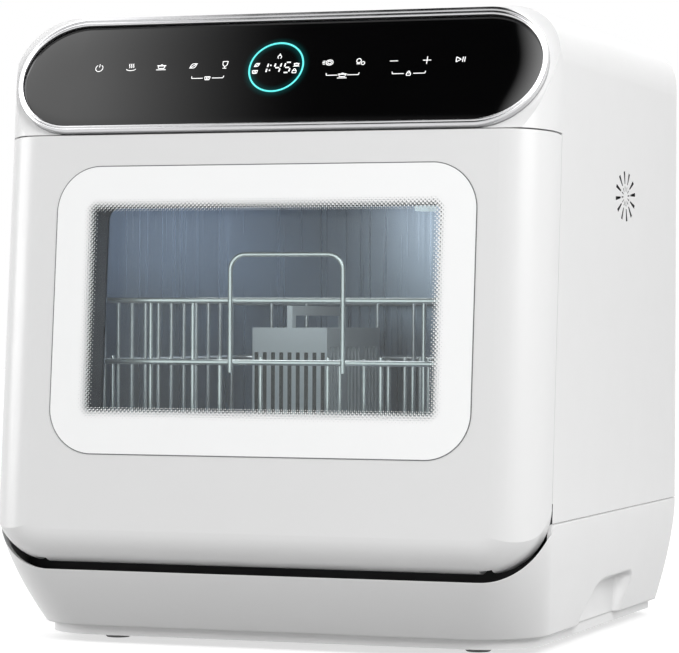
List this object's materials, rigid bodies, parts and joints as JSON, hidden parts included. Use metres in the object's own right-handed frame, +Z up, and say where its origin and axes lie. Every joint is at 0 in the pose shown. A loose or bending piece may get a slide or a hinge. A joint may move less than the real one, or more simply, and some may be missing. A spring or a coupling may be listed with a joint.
{
  "type": "countertop dishwasher",
  "caption": "Countertop dishwasher with a drop-down glazed door, sliding wire rack, tilted glass control panel, own water tank and side vent.",
  "frame": {"origin": "on the worktop, under the middle of the whole machine's width and depth", "axes": "+X to the machine's right side as seen from the front, +Y to its back, +Z up"},
  "size_m": [0.4, 0.435, 0.44],
  "materials": {
    "white_moulding": "satin white",
    "white_plastic": "satin",
    "light_plastic": "matt",
    "grey_plastic": "matt",
    "black_plastic": "matt",
    "black_sheet": "matt black",
    "rubber": "matt",
    "seal_rubber": "matt",
    "foot_rubber": "matt",
    "stainless": "brushed",
    "steel": "plain",
    "trim_metal": "polished satin",
    "rack_wire": "plastic-dipped steel wire",
    "black_glass": "gloss, printed black behind",
    "printed_glass": "gloss, printed white border",
    "clear_glass": "gloss",
    "lit_ring": "lit from behind",
    "display": "lit digits",
    "board": "circuit board",
    "clear_tank": "milky",
    "lamp": "frosted"
  },
  "bodies": {
    "cabinet": {"outer_cabinet": "white_moulding", "rear_cover": "light_plastic", "base_housing": "white_plastic", "plinth_tray": "white_plastic", "feet": "foot_rubber", "control_housing": "black_plastic", "control_trim": "trim_metal", "control_glass": "black_glass", "display_ring": "lit_ring", "display_module": "display", "touch_board": "board", "power_board": "board", "tub": "stainless", "door_seal": "seal_rubber", "rack_rails": "light_plastic", "well_guard": "black_sheet", "hinge_brackets": "steel", "latch_housing": "grey_plastic", "sump": "grey_plastic", "filter_plate": "stainless", "spray_post": "light_plastic", "wash_pump_housing": "grey_plastic", "wash_pump_motor": "steel", "sump_hose": "rubber", "drain_pump": "grey_plastic", "drain_hose": "rubber", "drain_spigot": "grey_plastic", "flow_heater": "stainless", "water_tank": "clear_tank", "fill_funnel": "white_plastic", "inlet_valve": "light_plastic", "inlet_hose": "rubber", "cord_gland": "black_plastic", "fan_housing": "black_plastic", "vent_screen": "black_plastic", "interior_lamp": "lamp", "cabinet_screws": "steel"},
    "door": {"door_outer": "white_plastic", "door_glass": "printed_glass", "window_spacer": "light_plastic", "window_gasket": "rubber", "inner_pane": "clear_glass", "door_liner": "stainless", "hinge_arms": "steel", "hinge_pins": "steel", "door_strike": "steel", "detergent_cup": "light_plastic"},
    "rack": {"rack_front": "rack_wire", "rack_back": "rack_wire", "rack_sides": "rack_wire", "rack_floor": "rack_wire", "plate_tines": "rack_wire"},
    "basket": {"cutlery_basket": "grey_plastic"},
    "detergent_lid": {"detergent_lid": "grey_plastic"},
    "filter": {"filter_cup": "grey_plastic"},
    "spray_arm": {"spray_arm": "grey_plastic"},
    "impeller": {"pump_impeller": "light_plastic"},
    "fan": {"fan_rotor": "black_plastic"},
    "fill_lid": {"fill_lid": "white_plastic"},
    "latch": {"latch_lever": "white_plastic"}
  },
  "joints": [
    {"name": "door_hinge", "type": "hinge", "parent": "cabinet", "child": "door", "pos_m": [0, -0.1955, 0.08], "axis": [1, 0, 0], "range_deg": [0, 93]},
    {"name": "rack_slide", "type": "slide", "parent": "cabinet", "child": "rack", "axis": [0, -1, 0], "range_m": [0, 0.102]},
    {"name": "basket_lift", "type": "slide", "parent": "rack", "child": "basket", "axis": [0, 0, 1], "range_m": [0, 0.09]},
    {"name": "detergent_lid_slide", "type": "slide", "parent": "door", "child": "detergent_lid", "axis": [1, 0, 0], "range_m": [0, 0.028]},
    {"name": "filter_turn", "type": "hinge", "parent": "cabinet", "child": "filter", "pos_m": [0, 0.062, 0.09], "axis": [0, 0, 1], "range_deg": [0, 90]},
    {"name": "spray_arm_spin", "type": "hinge", "parent": "cabinet", "child": "spray_arm", "pos_m": [0, -0.01, 0.117], "axis": [0, 0, 1], "continuous": true},
    {"name": "pump_spin", "type": "hinge", "parent": "cabinet", "child": "impeller", "pos_m": [-0.09, 0.02, 0.05], "axis": [1, 0, 0], "continuous": true},
    {"name": "fan_spin", "type": "hinge", "parent": "cabinet", "child": "fan", "pos_m": [0.183, 0.013, 0.3165], "axis": [1, 0, 0], "continuous": true},
    {"name": "fill_lid_hinge", "type": "hinge", "parent": "cabinet", "child": "fill_lid", "pos_m": [-0.09, 0.1569, 0.4352], "axis": [-1, 0, 0], "range_deg": [0, 90]},
    {"name": "latch_pivot", "type": "hinge", "parent": "cabinet", "child": "latch", "pos_m": [0, -0.13936, 0.35437], "axis": [-1, 0, 0], "range_deg": [0, 9], "stiffness_Nm_per_rad": 0.01}
  ],
  "couplings": [
    {"joint": "rack_slide", "follows": "door_hinge", "m_per_rad": 0.062}
  ]
}
